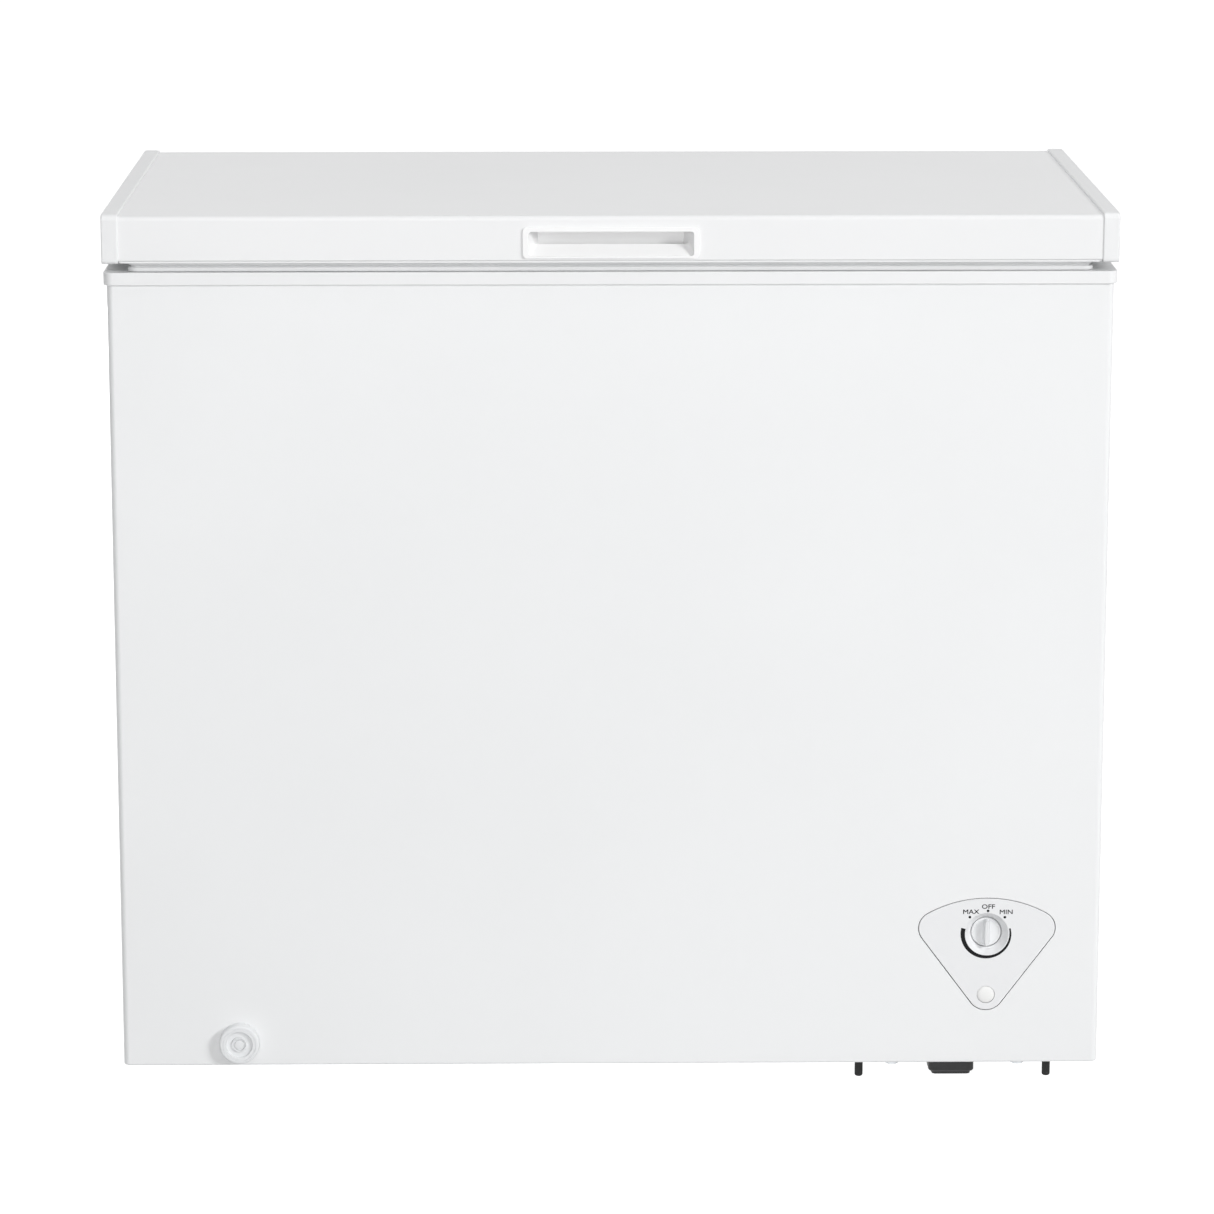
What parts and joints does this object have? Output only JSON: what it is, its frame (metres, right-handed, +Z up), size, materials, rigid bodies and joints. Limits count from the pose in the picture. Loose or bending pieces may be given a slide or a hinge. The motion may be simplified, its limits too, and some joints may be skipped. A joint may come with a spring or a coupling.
{
  "type": "chest freezer",
  "caption": "Free-standing chest freezer with a hinged, sealed lid, recessed handle, thermostat dial, front drain, rear-hinged top and a lift-out wire basket.",
  "frame": {"origin": "centre of the whole object's plan, on the floor under its feet", "axes": "+X to the object's right as seen from its front, +Y from the front to the back, +Z up"},
  "size_m": [0.945, 0.527, 0.85],
  "materials": {
    "body_paint": "smooth semi-gloss white paint on steel sheet",
    "lid_paint": "smooth semi-gloss white paint on steel sheet",
    "back_paint": "plain light grey paint on steel sheet",
    "galvanised": "bare zinc-coated steel sheet",
    "zinc": "bright zinc plate",
    "spring_steel": "oiled spring wire",
    "liner_sheet": "white-coated sheet with a fine pebbled emboss",
    "white_plastic": "moulded white plastic, satin",
    "cap_plastic": "moulded white plastic, glossy",
    "cover_plastic": "moulded off-white plastic with a fine grain",
    "panel_plastic": "moulded white plastic with black printing",
    "grey_plastic": "plain grey moulded plastic",
    "black_plastic": "black moulded plastic",
    "black_rubber": "black rubber",
    "grey_rubber": "soft grey rubber",
    "gasket": "soft light grey magnetic seal",
    "magnet": "dark flexible magnet strip",
    "foam": "rigid blown foam, pale yellow",
    "bare_aluminium": "bare drawn tube",
    "steel_tube": "copper-washed steel tube",
    "copper": "bare drawn copper",
    "black_paint": "black baked paint",
    "wire_jacket": "plain plastic wire jacket",
    "lens": "milky moulded plastic",
    "lamp": "small neon lamp",
    "basket_coat": "white plastic coat on steel wire",
    "knob_plastic": "moulded white plastic, glossy"
  },
  "bodies": {
    "cabinet": {"cabinet_wrapper": "body_paint", "back_panel": "back_paint", "bottom_pan": "galvanised", "step_panel": "galvanised", "top_frame": "white_plastic", "inner_liner": "liner_sheet", "insulation_foam": "foam", "evaporator_tube": "bare_aluminium", "condenser_tube": "steel_tube", "compressor_base_plate": "galvanised", "compressor_shell": "black_paint", "compressor_bracket": "black_paint", "compressor_grommets": "black_rubber", "compressor_bolts": "zinc", "start_relay": "black_plastic", "filter_drier": "copper", "discharge_tube": "copper", "suction_tube": "copper", "capillary_tube": "copper", "process_tube": "copper", "terminal_box": "black_plastic", "wiring_harness": "wire_jacket", "cord_gland": "black_plastic", "thermostat_body": "black_plastic", "thermostat_screws": "zinc", "control_panel": "panel_plastic", "indicator_lens": "lens", "indicator_lamp": "lamp", "side_grille": "white_plastic", "rear_cover": "back_paint", "rear_cover_screws": "zinc", "feet": "black_plastic", "foot_screws": "zinc", "base_plate_screws": "zinc", "base_plate_studs": "black_rubber", "drain_socket": "white_plastic", "drain_pipe": "grey_plastic", "hinge_bases": "zinc", "hinge_pins": "zinc", "hinge_springs": "spring_steel", "hinge_covers": "cover_plastic", "hinge_screws": "zinc"},
    "lid": {"hinge_arms": "zinc", "arm_screws": "zinc", "lid_outer_panel": "lid_paint", "lid_foam": "foam", "lid_inner_liner": "white_plastic", "lid_gasket": "gasket", "gasket_magnet": "magnet", "end_cap_left": "cap_plastic", "end_cap_right": "cap_plastic", "handle_insert": "cap_plastic"},
    "control_knob": {"control_knob": "knob_plastic", "thermostat_spindle": "zinc"},
    "drain_tube": {"drain_tube": "white_plastic"},
    "drain_dial": {"drain_dial": "knob_plastic"},
    "inner_drain_plug": {"inner_drain_plug": "grey_rubber"},
    "hinge_followers": {"hinge_followers": "white_plastic"},
    "wire_basket": {"wire_basket": "basket_coat"}
  },
  "joints": [
    {"name": "lid_hinge", "type": "hinge", "parent": "cabinet", "child": "lid", "pos_m": [0, 0.2555, 0.797], "axis": [-1, 0, 0], "range_deg": [0, 80]},
    {"name": "follower_slide", "type": "slide", "parent": "cabinet", "child": "hinge_followers", "axis": [0, 0, 1], "range_m": [0, 0.0098], "deforming": ["hinge_springs"]},
    {"name": "thermostat_turn", "type": "hinge", "parent": "cabinet", "child": "control_knob", "pos_m": [0.3605, -0.2525, 0.1541], "axis": [0, 1, 0], "range_deg": [0, 325]},
    {"name": "drain_tube_slide", "type": "slide", "parent": "cabinet", "child": "drain_tube", "axis": [0, -1, 0], "range_m": [0, 0.025]},
    {"name": "drain_dial_turn", "type": "hinge", "parent": "drain_tube", "child": "drain_dial", "pos_m": [-0.357, -0.2545, 0.049], "axis": [0, 1, 0], "range_deg": [0, 180]},
    {"name": "drain_plug_lift", "type": "slide", "parent": "cabinet", "child": "inner_drain_plug", "axis": [0, 0, 1], "range_m": [0, 0.04]},
    {"name": "basket_slide", "type": "slide", "parent": "cabinet", "child": "wire_basket", "axis": [-1, 0, 0], "range_m": [0, 0.45]}
  ],
  "couplings": [
    {"joint": "follower_slide", "follows": "lid_hinge", "m_per_rad": 0.006954}
  ]
}
